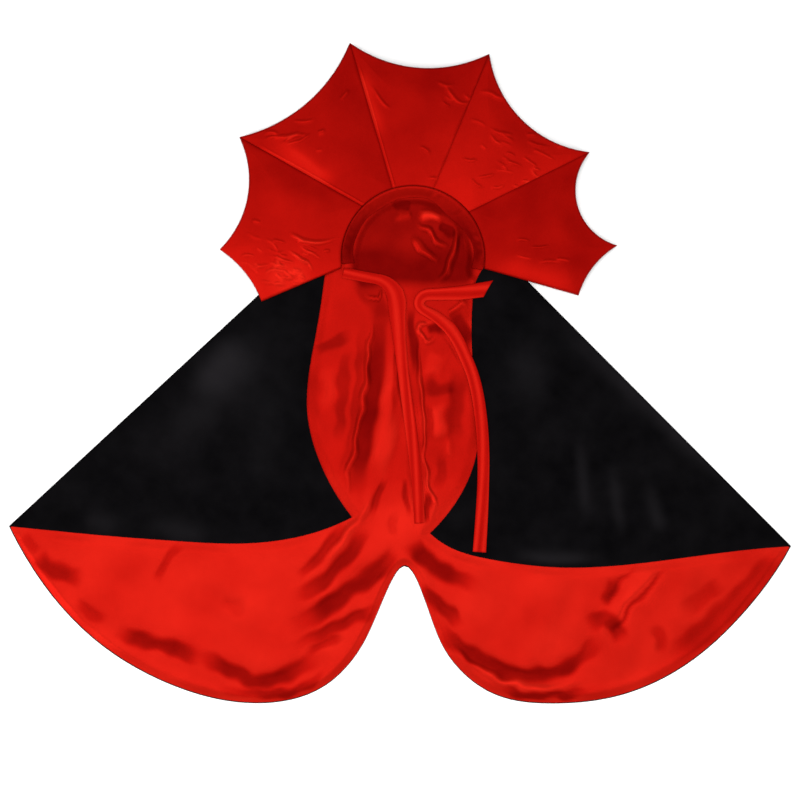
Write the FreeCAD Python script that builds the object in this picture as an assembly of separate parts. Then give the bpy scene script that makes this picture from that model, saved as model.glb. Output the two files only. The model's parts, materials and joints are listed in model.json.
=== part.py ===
import FreeCAD, Part
import math
import os

# A child's costume cape, laid flat on its back and open at the front. Units: mm.
# +X is to the right, +Y runs up towards the collar, +Z is up, and z = 0 is the table it lies on.
# The back lies lowest, the two front panels are folded over it from the side seams, and the
# collar lies on top as a flat fan around the neck.

V = FreeCAD.Vector

# ---- driving dimensions ----
CLOTH = 0.6               # one layer of satin, with the loft it lies at
AIR = 0.4                 # air between the back and the front panels
LIFT = 0.3                # clearance between pieces that move apart
TIE_THICK = 1.2           # a tie: satin folded to two layers
TIE_WIDTH = 16.0
BAND_THICK = 2.9          # neckband with its interlining
BAND_INNER_R = 66.0
BAND_OUTER_R = 77.0
BAND_ENDS = (185.0, -10.0)        # degrees around the neck; the left end stops above the left tie
NECK_R = 78.0             # cut edge of the cape body at the neck
COLLAR_R = 79.0           # lower edge of the collar at the neck seam
STIFFENER = 3.0           # foam sheet inside the collar
STIFFENER_INSET = 1.5     # it stops short of the collar's edge seam

# ---- heights of the layers ----
BACK_LINING_Z = CLOTH
FRONT_LINING_Z = 2 * CLOTH + AIR
FRONT_SHELL_Z = FRONT_LINING_Z + CLOTH
FRONT_TOP_Z = FRONT_SHELL_Z + CLOTH
TIE_Z = FRONT_TOP_Z + LIFT
BAND_Z = 2 * CLOTH + LIFT
COLLAR_Z = 4.8
STIFFENER_Z = COLLAR_Z + CLOTH
FACING_Z = STIFFENER_Z + STIFFENER

# ---- neck ----
NECK = V(14.3, 128.2, 0)
NECK_LEFT_FOLD = 150.0    # where the left side fold reaches the neck, degrees
NECK_RIGHT_FOLD = 21.3
NECK_LEFT_END = 166.0     # front corners of the neck edge; the left one is under the collar
NECK_RIGHT_END = -8.6

# ---- body of the cape ----
SIDE_LEFT = V(-430.1, -166.7, 0)          # hem corner at the left side fold
SIDE_RIGHT = V(430.1, -188.7, 0)
SIDE_LEFT_BEND = V(-90.0, 148.5, 0)       # the left fold turns in to the neck under the collar
HEM = [(-410.0, -204.0), (-336.6, -291.0), (-250.8, -341.6), (-160.0, -361.6), (-81.4, -341.6),
       (-48.4, -308.6), (-16.5, -242.6), (5.5, -210.7), (25.3, -242.6), (52.8, -308.6),
       (100.0, -350.0), (168.0, -361.9), (240.0, -353.5), (315.0, -319.0), (380.0, -260.0),
       (418.0, -209.6)]
LEFT_EDGE = [(-77.0, 130.0), (-83.0, 106.0), (-86.5, 80.0), (-91.5, 50.0), (-99.3, 7.0),
             (-102.3, -36.9), (-89.1, -94.0)]
LEFT_CORNER = V(-52.8, -156.8, 0)
LEFT_HEM = [(-104.5, -176.6), (-165.0, -185.4), (-242.0, -183.2), (-328.9, -176.6)]
RIGHT_EDGE = [(82.5, 99.0), (79.5, 78.0), (78.6, 48.0), (80.6, 8.0), (86.9, -43.5),
              (79.2, -105.0), (59.4, -143.6)]
RIGHT_CORNER = V(33.0, -174.4, 0)
RIGHT_HEM = [(59.4, -192.0), (99.0, -203.0), (170.5, -211.8), (308.0, -201.9)]

# ---- turn-back creases of the front panels: from the front edge to the side corner ----
LEFT_CREASE = V(-101.2, -50.1, 0)
RIGHT_CREASE = V(86.9, -43.5, 0)
REACH = 2000.0            # half-plane cutters are larger than the cape

# ---- collar: eight points, the lowest spot of each scallop, and the seam angles at the neck ----
POINTS = [(-151.8, 79.8), (-198.0, 137.0), (-176.0, 260.2), (-55.0, 363.6),
          (97.9, 351.5), (207.9, 243.7), (238.7, 141.4), (195.8, 86.4)]
SCALLOPS = [(-172.7, 115.0), (-166.1, 203.0), (-101.2, 298.7), (27.5, 336.0),
            (136.4, 276.7), (192.5, 200.8), (211.2, 117.2)]
SEAMS = [134.5, 106.4, 73.5, 39.3]
COLLAR_ENDS = (188.0, -9.0)
# gore: first point, last point, and the two angles of its neck edge
GORES = {"left_wing": (0, 2, COLLAR_ENDS[0], SEAMS[0]), "left_mid": (2, 3, SEAMS[0], SEAMS[1]),
         "centre": (3, 4, SEAMS[1], SEAMS[2]), "right_mid": (4, 5, SEAMS[2], SEAMS[3]),
         "right_wing": (5, 7, SEAMS[3], COLLAR_ENDS[1])}

# ---- ties: hand-placed routes, from the neckband to the free end ----
LEFT_TIE = [(-62.7, 111.7), (-41.0, 107.5), (-14.0, 102.5), (-2.5, 80.0), (1.8, 44.0),
            (6.9, -10.0), (17.2, -92.0), (21.5, -163.4)]
RIGHT_TIE = [(97.0, 95.0), (72.0, 93.0), (45.5, 91.0), (23.0, 89.5), (17.5, 74.0), (36.5, 62.0),
             (56.0, 44.5), (70.5, 21.0), (82.5, -9.0), (89.6, -48.0), (92.2, -95.0),
             (90.4, -147.0), (87.0, -195.0)]


def flat(pair):
    """A point on the table from its x and y."""
    return V(pair[0], pair[1], 0)


def around_neck(radius, degrees):
    """The point at a radius and an angle around the neck."""
    a = math.radians(degrees)
    return NECK + V(radius * math.cos(a), radius * math.sin(a), 0)


def neck_arc(radius, start, end):
    """Arc around the neck between two angles."""
    middle = around_neck(radius, (start + end) / 2)
    return Part.Arc(around_neck(radius, start), middle, around_neck(radius, end)).toShape()


def line(a, b):
    """Straight edge."""
    return Part.LineSegment(a, b).toShape()


def curve(points):
    """Smooth edge through the given points."""
    spline = Part.BSplineCurve()
    spline.interpolate(points)
    return spline.toShape()


def plate(edges, z, thickness):
    """Flat sheet with the closed outline of the given edges, at height z."""
    wire = Part.Wire(Part.__sortEdges__(edges))
    face = Part.Face(wire)
    face.translate(V(0, 0, z))
    return face.extrude(V(0, 0, thickness))


def back_edges():
    """Outline of the back: side folds, neck arc and the two-lobed hem."""
    neck_left = around_neck(NECK_R, NECK_LEFT_FOLD)
    neck_right = around_neck(NECK_R, NECK_RIGHT_FOLD)
    hem = [SIDE_LEFT] + [flat(p) for p in HEM] + [SIDE_RIGHT]
    return [line(SIDE_LEFT, SIDE_LEFT_BEND), line(SIDE_LEFT_BEND, neck_left),
            neck_arc(NECK_R, NECK_LEFT_FOLD, NECK_RIGHT_FOLD),
            line(neck_right, SIDE_RIGHT), curve(hem)]


def left_front_edges():
    """Outline of the left front panel: side fold, neck, curved front edge and hem."""
    neck_fold = around_neck(NECK_R, NECK_LEFT_FOLD)
    neck_end = around_neck(NECK_R, NECK_LEFT_END)
    front = [neck_end] + [flat(p) for p in LEFT_EDGE] + [LEFT_CORNER]
    hem = [LEFT_CORNER] + [flat(p) for p in LEFT_HEM] + [SIDE_LEFT]
    return [line(SIDE_LEFT, SIDE_LEFT_BEND), line(SIDE_LEFT_BEND, neck_fold),
            neck_arc(NECK_R, NECK_LEFT_FOLD, NECK_LEFT_END), curve(front), curve(hem)]


def right_front_edges():
    """Outline of the right front panel."""
    neck_fold = around_neck(NECK_R, NECK_RIGHT_FOLD)
    neck_end = around_neck(NECK_R, NECK_RIGHT_END)
    front = [neck_end] + [flat(p) for p in RIGHT_EDGE] + [RIGHT_CORNER]
    hem = [RIGHT_CORNER] + [flat(p) for p in RIGHT_HEM] + [SIDE_RIGHT]
    return [line(SIDE_RIGHT, neck_fold), neck_arc(NECK_R, NECK_RIGHT_FOLD, NECK_RIGHT_END),
            curve(front), curve(hem)]


def beside_line(a, b, clear):
    """Tall block on the left of the line from a to b, starting at a small distance from it."""
    along = (b - a).normalize()
    side = V(-along.y, along.x, 0)
    near = a + side * clear - along * REACH
    corners = [near, near + along * 3 * REACH, near + along * 3 * REACH + side * REACH,
               near + side * REACH, near]
    face = Part.Face(Part.makePolygon(corners))
    face.translate(V(0, 0, -REACH / 2))
    return face.extrude(V(0, 0, REACH))


def split_at(solid, a, b):
    """The two parts of a sheet on the left and on the right of the crease from a to b."""
    left = solid.common(beside_line(a, b, LIFT))
    right = solid.common(beside_line(b, a, LIFT))
    return left.Solids[0], right.Solids[0]


def back_pieces():
    """Black outer cloth of the back with its red lining on it."""
    return {"back_shell": plate(back_edges(), 0, CLOTH),
            "back_lining": plate(back_edges(), BACK_LINING_Z, CLOTH)}


def front_pieces(side, edges, crease, corner):
    """A front panel: lining below, outer cloth above, each in two at the turn-back crease."""
    pieces = {}
    for layer, z in (("lining", FRONT_LINING_Z), ("shell", FRONT_SHELL_Z)):
        halves = split_at(plate(edges, z, CLOTH), crease, corner)
        upper, lower = sorted(halves, key=lambda s: -s.BoundBox.YMax)
        pieces["front_" + side + "_" + layer + "_upper"] = upper
        pieces["front_" + side + "_" + layer + "_lower"] = lower
    return pieces


def band_edges():
    """Outline of the neckband: a strip around the neck, open at the front."""
    start, end = BAND_ENDS
    return [neck_arc(BAND_INNER_R, start, end), neck_arc(BAND_OUTER_R, start, end),
            line(around_neck(BAND_INNER_R, start), around_neck(BAND_OUTER_R, start)),
            line(around_neck(BAND_INNER_R, end), around_neck(BAND_OUTER_R, end))]


def neckband_pieces():
    """Neckband: an interlining between two faces of satin."""
    core = BAND_THICK - 2 * CLOTH
    return {"neckband_under": plate(band_edges(), BAND_Z, CLOTH),
            "neckband_interlining": plate(band_edges(), BAND_Z + CLOTH, core),
            "neckband_face": plate(band_edges(), BAND_Z + CLOTH + core, CLOTH)}


def gore_edges(name):
    """Outline of one collar gore: neck arc, two sides and one or two scallops."""
    tips = [flat(p) for p in POINTS]
    dips = [flat(p) for p in SCALLOPS]
    first, last, start, end = GORES[name]
    bottom_left = around_neck(COLLAR_R, start)
    bottom_right = around_neck(COLLAR_R, end)
    if first > 0:
        inward = (tips[first] - bottom_left).normalize()
        shift = V(inward.y, -inward.x, 0) * LIFT
        bottom_left = bottom_left + shift
        tips[first] = tips[first] + shift
    if last < len(tips) - 1:
        inward = (tips[last] - bottom_right).normalize()
        shift = V(-inward.y, inward.x, 0) * LIFT
        bottom_right = bottom_right + shift
        tips[last] = tips[last] + shift
    middle = around_neck(COLLAR_R, (start + end) / 2)
    edges = [Part.Arc(bottom_left, middle, bottom_right).toShape()]
    edges.append(line(bottom_left, tips[first]))
    edges.append(line(bottom_right, tips[last]))
    for i in range(first, last):
        edges.append(Part.Arc(tips[i], dips[i], tips[i + 1]).toShape())
    return edges


def collar_pieces():
    """Five gores, each a black outer side, a foam stiffener and a red facing."""
    pieces = {}
    for name in GORES:
        edges = gore_edges(name)
        pieces["collar_outer_" + name] = plate(edges, COLLAR_Z, CLOTH)
        pieces["collar_facing_" + name] = plate(edges, FACING_Z, CLOTH)
        face = Part.Face(Part.Wire(Part.__sortEdges__(edges)))
        inner = face.makeOffset2D(-STIFFENER_INSET)
        inner.translate(V(0, 0, STIFFENER_Z))
        pieces["collar_stiffener_" + name] = inner.extrude(V(0, 0, STIFFENER))
    return pieces


def corners_of(route):
    """For each inner point of a route: its arc's ends, centre, radius, turn sign and tangents."""
    corners = []
    for a, b, c in zip(route, route[1:], route[2:]):
        into = b - a
        out = c - b
        tangent = 0.45 * min(into.Length, out.Length)
        half = into.getAngle(out) / 2
        radius = tangent / math.tan(half)
        into.normalize()
        out.normalize()
        sign = 1 if into.x * out.y - into.y * out.x > 0 else -1
        start = b - into * tangent
        centre = start + V(-into.y, into.x, 0) * radius * sign
        corners.append((start, b + out * tangent, centre, b, radius, sign, into, out))
    return corners


def side_edges(route, offset):
    """One long side of a ribbon: the route's runs and arcs, moved sideways."""
    edges = []
    first = (route[1] - route[0]).normalize()
    last = (route[-1] - route[-2]).normalize()
    at = route[0] + V(-first.y, first.x, 0) * offset
    for start, end, centre, point, radius, sign, into, out in corners_of(route):
        arc_start = start + V(-into.y, into.x, 0) * offset
        arc_end = end + V(-out.y, out.x, 0) * offset
        middle = centre + (point - centre).normalize() * (radius - sign * offset)
        edges.append(line(at, arc_start))
        edges.append(Part.Arc(arc_start, middle, arc_end).toShape())
        at = arc_end
    finish = route[-1] + V(-last.y, last.x, 0) * offset
    edges.append(line(at, finish))
    return edges, route[0] + V(-first.y, first.x, 0) * offset, finish


def ribbon(name, pairs):
    """Flat tie along a hand-placed route, with its radii and volume printed for a check."""
    route = [flat(p) for p in pairs]
    left, left_start, left_end = side_edges(route, TIE_WIDTH / 2)
    right, right_start, right_end = side_edges(route, -TIE_WIDTH / 2)
    solid = plate(left + right + [line(left_start, right_start), line(left_end, right_end)],
                  TIE_Z, TIE_THICK)
    middle, _, _ = side_edges(route, 0)
    length = sum(edge.Length for edge in middle)
    radii = [round(corner[4], 1) for corner in corners_of(route)]
    print(name, "length", round(length, 1), "radii", radii)
    print(name, "volume", round(solid.Volume, 1), "section x length",
          round(length * TIE_WIDTH * TIE_THICK, 1))
    return solid


def tie_pieces():
    """Two ties; the right one lies on the right panel and is cut at the panel's crease."""
    upper, lower = split_at(ribbon("right_tie", RIGHT_TIE), SIDE_RIGHT, RIGHT_CREASE)
    if upper.BoundBox.YMax < lower.BoundBox.YMax:
        upper, lower = lower, upper
    return {"left_tie": ribbon("left_tie", LEFT_TIE), "right_tie_upper": upper,
            "right_tie_lower": lower}


os.makedirs("parts", exist_ok=True)
cape = {}
cape.update(back_pieces())
cape.update(front_pieces("left", left_front_edges(), LEFT_CREASE, SIDE_LEFT))
cape.update(front_pieces("right", right_front_edges(), RIGHT_CREASE, SIDE_RIGHT))
cape.update(neckband_pieces())
cape.update(collar_pieces())
cape.update(tie_pieces())
for node, shape in cape.items():
    shape.exportStep("parts/" + node + ".step")
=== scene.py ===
import json
import math

import bmesh
import bpy
import numpy as np
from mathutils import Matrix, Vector


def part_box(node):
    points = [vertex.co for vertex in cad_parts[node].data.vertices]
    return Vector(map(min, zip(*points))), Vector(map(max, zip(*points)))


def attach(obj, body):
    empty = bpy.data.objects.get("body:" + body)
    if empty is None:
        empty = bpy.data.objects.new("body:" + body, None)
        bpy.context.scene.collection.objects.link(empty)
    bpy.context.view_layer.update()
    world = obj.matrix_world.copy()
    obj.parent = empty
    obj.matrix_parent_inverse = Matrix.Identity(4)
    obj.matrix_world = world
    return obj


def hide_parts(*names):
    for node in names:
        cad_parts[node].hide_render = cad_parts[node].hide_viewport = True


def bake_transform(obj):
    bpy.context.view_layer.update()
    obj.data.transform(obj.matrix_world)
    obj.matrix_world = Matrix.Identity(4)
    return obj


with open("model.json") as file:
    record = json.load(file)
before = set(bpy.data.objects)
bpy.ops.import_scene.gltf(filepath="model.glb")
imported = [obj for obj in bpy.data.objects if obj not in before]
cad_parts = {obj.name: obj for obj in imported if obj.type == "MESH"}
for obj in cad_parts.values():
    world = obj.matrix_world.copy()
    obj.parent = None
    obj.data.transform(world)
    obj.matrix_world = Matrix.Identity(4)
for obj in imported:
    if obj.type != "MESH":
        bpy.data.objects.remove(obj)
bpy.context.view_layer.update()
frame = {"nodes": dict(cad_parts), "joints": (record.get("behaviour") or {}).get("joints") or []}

# A costume cape laid flat on its back: black satin outside, red satin inside, with a stiffened
# collar in five gores. The places below are in millimetres in the frame, and MM turns them into
# metres.
MM = 0.001

# ---- Camera, floor and light ----
# The cape lies on a white table under a camera that looks straight down. A large soft lamp
# hangs over it, one stands at its left and a weaker one at its right, so that folds are a
# little darker on their right.
FRAME_WIDTH = 880.0
CAMERA_OVER = (0.0, -28.0)
LENS = 85.0
SENSOR = 36.0
ROOM_COLOUR = (1.0, 0.99, 0.98, 1.0)
ROOM_LIGHT = 0.42
FLOOR_SIZE = 8.0
FLOOR_Z = -0.4
FLOOR_WHITE = (0.93, 0.93, 0.93)
FLOOR_ROUGHNESS = 0.9
FLOOR_SHINE = 0.1

scene = bpy.context.scene
scene.view_settings.view_transform = "Standard"
camera_data = bpy.data.cameras.new("camera")
camera_data.lens = LENS
camera_data.sensor_width = SENSOR
camera = bpy.data.objects.new("camera", camera_data)
camera.location = (CAMERA_OVER[0] * MM, CAMERA_OVER[1] * MM, FRAME_WIDTH * MM * LENS / SENSOR)
scene.collection.objects.link(camera)
scene.camera = camera


def soft_lamp(name, place, size, power):
    """Square lamp at a place in metres, turned towards the middle of the cape."""
    light = bpy.data.lights.new(name, "AREA")
    light.shape = "SQUARE"
    light.size = size
    light.energy = power
    lamp = bpy.data.objects.new(name, light)
    lamp.location = place
    lamp.rotation_euler = (-Vector(place)).to_track_quat("-Z", "Y").to_euler()
    scene.collection.objects.link(lamp)


soft_lamp("overhead_lamp", (-0.2, 0.2, 2.9), size=2.4, power=64.0)
soft_lamp("left_lamp", (-2.0, -1.1, 1.6), size=1.2, power=42.0)
soft_lamp("right_lamp", (2.1, -1.2, 1.5), size=1.4, power=26.0)
world = bpy.data.worlds.new("room")
world.use_nodes = True
background = world.node_tree.nodes["Background"]
background.inputs["Color"].default_value = ROOM_COLOUR
background.inputs["Strength"].default_value = ROOM_LIGHT
scene.world = world


def cloth_object(name, mesh, material):
    """Object at the origin for a finished mesh with one material."""
    mesh.materials.append(material)
    piece = bpy.data.objects.new(name, mesh)
    scene.collection.objects.link(piece)
    return piece


def node_material(name, colour, roughness):
    """New material with its Principled shader's colour and roughness set."""
    material = bpy.data.materials.new(name)
    material.use_nodes = True
    shader = material.node_tree.nodes["Principled BSDF"]
    shader.inputs["Base Color"].default_value = (*colour, 1.0)
    shader.inputs["Roughness"].default_value = roughness
    return material, shader


half = FLOOR_SIZE / 2
floor_mesh = bpy.data.meshes.new("floor")
floor_mesh.from_pydata([(-half, -half, FLOOR_Z * MM), (half, -half, FLOOR_Z * MM),
                        (half, half, FLOOR_Z * MM), (-half, half, FLOOR_Z * MM)],
                       [], [(0, 1, 2, 3)])
floor_paint, floor_shader = node_material("floor_paint", FLOOR_WHITE, FLOOR_ROUGHNESS)
floor_shader.inputs["Specular IOR Level"].default_value = FLOOR_SHINE
cloth_object("floor", floor_mesh, floor_paint)


# ---- Ties ----
# Two ties of red satin, folded to two layers and stitched along one edge, hang from the ends of
# the neckband and lie loose: the left one down the lining, the right one down the right front.
TIE_WIDTH = 16.0
TIE_THICK = 1.5
TIE_Z = 3.7
RIBBON_RINGS = 260
RIBBON_AROUND = 28
RIBBON_CROWN = 0.18
LEFT_TIE = [(-62.7, 111.7), (-41.0, 107.5), (-14.0, 102.5), (-2.5, 80.0), (1.8, 44.0),
            (6.9, -10.0), (17.2, -92.0), (21.5, -163.4)]
RIGHT_TIE = [(97.0, 95.0), (72.0, 93.0), (45.5, 91.0), (23.0, 89.5), (17.5, 74.0), (36.5, 62.0),
             (56.0, 44.5), (70.5, 21.0), (82.5, -9.0), (89.6, -48.0), (92.2, -95.0),
             (90.4, -147.0), (87.0, -195.0)]
# share of the length along the tie, and how far it spreads there to its left and right hand,
# as shares of half the width
LEFT_TIE_SPREAD = [(0.0, 0.75, 0.7), (0.12, 0.75, 0.7), (0.165, 1.1, 0.8), (0.20, 1.45, 1.0),
                   (0.235, 1.3, 1.3), (0.28, 0.85, 1.4), (0.36, 0.55, 1.25), (0.48, 0.5, 1.05),
                   (0.65, 0.65, 0.95), (0.85, 0.75, 0.75), (1.0, 0.75, 0.7)]
RIGHT_TIE_SPREAD = [(0.0, 1.2, 1.0), (0.08, 1.35, 0.6), (0.15, 1.15, 0.5), (0.19, 1.0, 0.6),
                    (0.22, 0.9, 0.6), (0.25, 0.9, 0.5), (0.29, 1.25, 0.35), (0.34, 1.4, 0.4),
                    (0.42, 1.0, 0.7), (0.6, 0.85, 0.85), (0.8, 0.8, 0.8), (1.0, 0.95, 0.9)]


def smooth(t):
    """Smooth step: 0 below 0, 1 above 1, and 3t^2 - 2t^3 in between."""
    t = np.clip(t, 0, 1)
    return t * t * (3 - 2 * t)


THREAD_PITCH = 0.35
THREAD_DEPTH = 0.03
THREAD_WAVER = 0.6
WEFT_SHARE = 0.5                  # height of the weft as a share of the warp's
WEAVE_STRENGTH = 0.35
WAVE_REPEAT = 0.31                # metres between the bands of a wave texture at a scale of 1


def threads(material, shader):
    """Satin weave as a bump: two sets of fine, slightly wavering bands, warp and weft. Gives
    back the node of the object's own coordinates."""
    nodes = material.node_tree.nodes
    links = material.node_tree.links
    place = nodes.new("ShaderNodeTexCoord")
    warp = nodes.new("ShaderNodeTexWave")
    warp.bands_direction = "X"
    weft = nodes.new("ShaderNodeTexWave")
    weft.bands_direction = "Y"
    for wave in (warp, weft):
        wave.inputs["Scale"].default_value = WAVE_REPEAT / (THREAD_PITCH * MM)
        wave.inputs["Distortion"].default_value = THREAD_WAVER
        links.new(place.outputs["Object"], wave.inputs["Vector"])
    mix = nodes.new("ShaderNodeMath")
    mix.operation = "MULTIPLY_ADD"
    mix.inputs[1].default_value = WEFT_SHARE
    links.new(weft.outputs["Fac"], mix.inputs[0])
    links.new(warp.outputs["Fac"], mix.inputs[2])
    bump = nodes.new("ShaderNodeBump")
    bump.inputs["Strength"].default_value = WEAVE_STRENGTH
    bump.inputs["Distance"].default_value = THREAD_DEPTH * MM
    links.new(mix.outputs["Value"], bump.inputs["Height"])
    links.new(bump.outputs["Normal"], shader.inputs["Normal"])
    return place


BLOTCH_SCALE = 55.0
BLOTCH_DETAIL = 3.0
BLOTCH_TONE = 0.14
HALF_BRIGHT = 0.6                 # painted light value at the middle colour of the ramp, and how far its red lies from the shaded to the lit red
PALER = 0.35                      # how far the middle colour's green and blue lie from the shaded to the lit colour


def satin(name, shaded_colour, lit_colour, roughness, metallic, specular):
    """Satin cloth with painted light: colour from a painted shade colour to a painted highlight
    colour by the tone and painted light kept on the surface, by way of a middle colour with less
    green and blue in it, broken up a little by slow noise, with the weave as a bump."""
    material, shader = node_material(name, lit_colour, roughness)
    nodes = material.node_tree.nodes
    links = material.node_tree.links
    place = threads(material, shader)
    shader.inputs["Metallic"].default_value = metallic
    shader.inputs["Specular IOR Level"].default_value = specular
    tone_and_painted_light = nodes.new("ShaderNodeAttribute")
    tone_and_painted_light.attribute_name = "tone_and_painted_light"
    noise = nodes.new("ShaderNodeTexNoise")
    noise.inputs["Scale"].default_value = BLOTCH_SCALE
    noise.inputs["Detail"].default_value = BLOTCH_DETAIL
    links.new(place.outputs["Object"], noise.inputs["Vector"])
    uneven = nodes.new("ShaderNodeMath")
    uneven.operation = "MULTIPLY_ADD"
    uneven.inputs[1].default_value = BLOTCH_TONE
    links.new(noise.outputs["Fac"], uneven.inputs[0])
    links.new(tone_and_painted_light.outputs["Fac"], uneven.inputs[2])
    ramp = nodes.new("ShaderNodeValToRGB")
    ramp.color_ramp.elements[0].color = (*shaded_colour, 1.0)
    ramp.color_ramp.elements[1].color = (*lit_colour, 1.0)
    middle = ramp.color_ramp.elements.new(HALF_BRIGHT)
    red = shaded_colour[0] + HALF_BRIGHT * (lit_colour[0] - shaded_colour[0])
    paler = [low + PALER * (high - low) for low, high in zip(shaded_colour[1:], lit_colour[1:])]
    middle.color = (red, *paler, 1.0)
    links.new(uneven.outputs["Value"], ramp.inputs["Fac"])
    links.new(ramp.outputs["Color"], shader.inputs["Base Color"])
    return material


def surface_mesh(name, points, tone_and_painted_light, up=True, closed_across=False):
    """Mesh of a rows x columns grid of places in millimetres, with its tone and painted light kept
    per vertex and its faces turned up or down. A grid closed across joins its last column to its
    first."""
    rows, columns = points.shape[:2]
    number = np.arange(rows * columns).reshape(rows, columns)
    if closed_across:
        number = np.hstack([number, number[:, :1]])
    faces = np.stack([number[:-1, :-1], number[1:, :-1], number[1:, 1:], number[:-1, 1:]], -1)
    faces = faces.reshape(-1, 4)
    flat = points.reshape(-1, 3)
    a, b, c = (flat[faces[:, i], :2] for i in (0, 1, 3))
    turned_up = np.median(np.cross(b - a, c - a)) > 0
    if turned_up != up:
        faces = faces[:, ::-1]
    mesh = bpy.data.meshes.new(name)
    mesh.from_pydata((flat * MM).tolist(), [], faces.tolist())
    mesh.attributes.new("tone_and_painted_light", "FLOAT", "POINT").data.foreach_set(
        "value", np.broadcast_to(tone_and_painted_light, (rows, columns)).ravel().astype(np.float32))
    mesh.shade_smooth()
    return mesh


def route_line(name, route, height):
    """Points in millimetres along the smooth NURBS spline that has the route's points as its
    control points."""
    curve = bpy.data.curves.new(name, "CURVE")
    curve.dimensions = "3D"
    curve.resolution_u = 24
    spline = curve.splines.new("NURBS")
    spline.points.add(len(route) - 1)
    for point, (x, y) in zip(spline.points, route):
        point.co = (x * MM, y * MM, height * MM, 1.0)
    spline.order_u = 3
    spline.use_endpoint_u = True
    holder = bpy.data.objects.new(name, curve)
    line = bpy.data.meshes.new_from_object(holder)
    points = np.empty(3 * len(line.vertices))
    line.vertices.foreach_get("co", points)
    bpy.data.objects.remove(holder)
    bpy.data.curves.remove(curve)
    bpy.data.meshes.remove(line)
    return points.reshape(-1, 3) / MM


def resample(line, count):
    """Count points at even steps along a line of points."""
    line = np.asarray(line, float)
    step = np.hypot(*np.diff(line[:, :2], axis=0).T)
    reached = np.concatenate([[0], np.cumsum(step)])
    at = np.linspace(0, reached[-1], count)
    return np.stack([np.interp(at, reached, line[:, i]) for i in range(line.shape[1])], -1)


def flat_oval(turn):
    """Reach across and rise, from -1 to 1, of an oval that is a little squarer than a circle."""
    across = np.sign(np.cos(turn)) * np.abs(np.cos(turn)) ** 0.8
    rise = np.sign(np.sin(turn)) * np.abs(np.sin(turn)) ** 0.7
    return across, rise


def ribbon_mesh(name, line, spreads, slant, ridge, phase):
    """Flat tube along a line: each ring is a flattened oval, half its width to each side and
    half its thickness up, with a stitched ridge near one edge and slow waves along it. Its
    start is cut at a slant."""
    line = resample(line, RIBBON_RINGS)
    share = np.linspace(0, 1, len(line))
    along = np.gradient(line[:, :2], axis=0)
    along /= np.hypot(*along.T)[:, None]
    side = np.stack([-along[:, 1], along[:, 0]], -1)
    where, left_spread, right_spread = np.array(spreads).T
    to_left = TIE_WIDTH / 2 * np.interp(share, where, left_spread)[:, None]
    to_right = TIE_WIDTH / 2 * np.interp(share, where, right_spread)[:, None]
    turn = np.linspace(0, 2 * math.pi, RIBBON_AROUND, endpoint=False)
    across, rise = flat_oval(turn)
    rise = rise * TIE_THICK / 2
    top = np.sin(turn) > 0
    crown = RIBBON_CROWN * np.cos(3 * across[None] + 4 * math.pi * share[:, None] + phase)
    stitched = ridge * np.exp(-((across - 0.55) / 0.13) ** 2) - ridge * np.exp(
        -((across - 0.3) / 0.12) ** 2)
    height = rise[None] + np.where(top, crown + stitched[None], 0)
    spread = np.where(across > 0, across * to_left, across * to_right)
    back_cut = slant * across * (1 - smooth(share / 0.1))[:, None]
    points = np.empty((len(line), len(turn), 3))
    points[..., :2] = line[:, None, :2] + side[:, None] * spread[..., None]
    points[..., :2] += along[:, None] * back_cut[..., None]
    points[..., 2] = line[:, None, 2] + height
    # Painted sheen: the top of the tie is painted in slow lighter and darker bands across and
    # along it, the underside an even darker value.
    tone = 0.55 + 0.25 * np.sin(5 * across[None] + 9 * share[:, None] + phase)
    tone = np.where(top[None], tone, 0.4)
    mesh = surface_mesh(name, points, tone, closed_across=True)
    return mesh, points


def close_ends(mesh, rings, around):
    """Closes a tube of rings by one face at each end."""
    work = bmesh.new()
    work.from_mesh(mesh)
    work.verts.ensure_lookup_table()
    work.faces.new([work.verts[i] for i in range(around)])
    work.faces.new([work.verts[(rings - 1) * around + i] for i in reversed(range(around))])
    bmesh.ops.recalc_face_normals(work, faces=work.faces)
    work.to_mesh(mesh)
    work.free()


tie_satin = satin("tie_satin", (0.17, 0.0003, 0.0003), (0.47, 0.0105, 0.0050),
                  roughness=0.42, metallic=0.25, specular=0.005)
left_line = route_line("left_tie_line", LEFT_TIE, TIE_Z)
right_line = route_line("right_tie_line", RIGHT_TIE, TIE_Z)
for tie, line, spreads, slant, ridge, phase in (
        ("left_tie_ribbon", left_line, LEFT_TIE_SPREAD, 0.0, 0.15, 0.4),
        ("right_tie_ribbon", right_line, RIGHT_TIE_SPREAD, 6.0, 0.2, 2.0)):
    mesh, points = ribbon_mesh(tie, line, spreads, slant, ridge, phase)
    close_ends(mesh, *points.shape[:2])
    ribbon = cloth_object(tie, mesh, tie_satin)
    if tie == "left_tie_ribbon":
        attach(ribbon, "cape_body")
        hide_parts("left_tie")
    else:
        right_ribbon = ribbon
        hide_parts("right_tie_upper", "right_tie_lower")


# ---- Back: red lining on black outer cloth ----
# The back is one wide piece with a deep notch in its hem. The lining is sewn to the outer cloth
# round the edge and bagged out, so it lies loose, with soft folds where nothing covers it.
BAND_START, BAND_END = 185.0, -10.0     # degrees round the neck, from left to right
BAND_INNER = 66.0                       # radius of the neckband's free edge
BAND_OUTER = 77.0
NECK_EDGE = 78.5                        # nearer to the neck's centre than this is a neck edge
neck_low, neck_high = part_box("neckband_face")
NECK = np.array([(neck_low.x + neck_high.x) / 2, neck_high.y]) / MM
NECK[1] -= BAND_OUTER


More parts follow.
